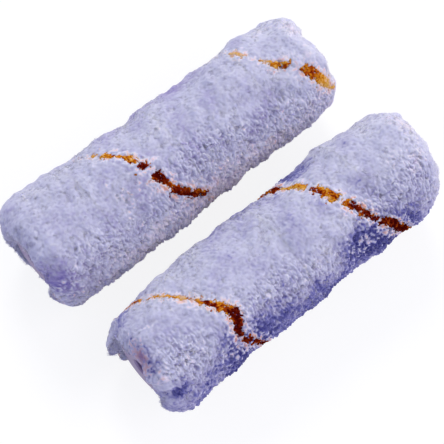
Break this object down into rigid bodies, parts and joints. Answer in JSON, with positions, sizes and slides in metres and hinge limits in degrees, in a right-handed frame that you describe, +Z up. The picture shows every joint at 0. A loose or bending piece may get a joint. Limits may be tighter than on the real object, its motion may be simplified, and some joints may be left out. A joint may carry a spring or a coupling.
{
  "type": "mini paint roller sleeve pair",
  "caption": "Pair of mini paint roller sleeves with shaggy white pile and a helical gold stripe, lying side by side, each with bored end bushes for a wire frame.",
  "frame": {"origin": "middle of the pair's footprint on the surface it lies on", "axes": "+X along the sleeves towards their far ends, +Y from the front sleeve to the rear sleeve, +Z up"},
  "size_m": [0.1098, 0.0808, 0.0349],
  "materials": {
    "core_plastic": "extruded natural polypropylene",
    "bush_plastic": "moulded white polypropylene, satin",
    "hot_melt_glue": "thin set film of hot-melt glue",
    "backing_cloth": "knitted polyester backing",
    "white_pile": "curly matted polyester pile, cool white",
    "gold_pile": "brown to amber yarn with the same curl"
  },
  "bodies": {
    "rear_sleeve": {"rear_core_tube": "core_plastic", "rear_near_bush": "bush_plastic", "rear_far_bush": "bush_plastic", "rear_glue_film": "hot_melt_glue", "rear_backing_cloth": "backing_cloth", "rear_white_pile": "white_pile", "rear_gold_stripe": "gold_pile"},
    "front_sleeve": {"front_core_tube": "core_plastic", "front_near_bush": "bush_plastic", "front_far_bush": "bush_plastic", "front_glue_film": "hot_melt_glue", "front_backing_cloth": "backing_cloth", "front_white_pile": "white_pile", "front_gold_stripe": "gold_pile"}
  },
  "joints": [
    {"name": "front_sleeve_slide", "type": "slide", "parent": "rear_sleeve", "child": "front_sleeve", "axis": [0, -1, 0], "range_m": [0, 0.1]}
  ]
}
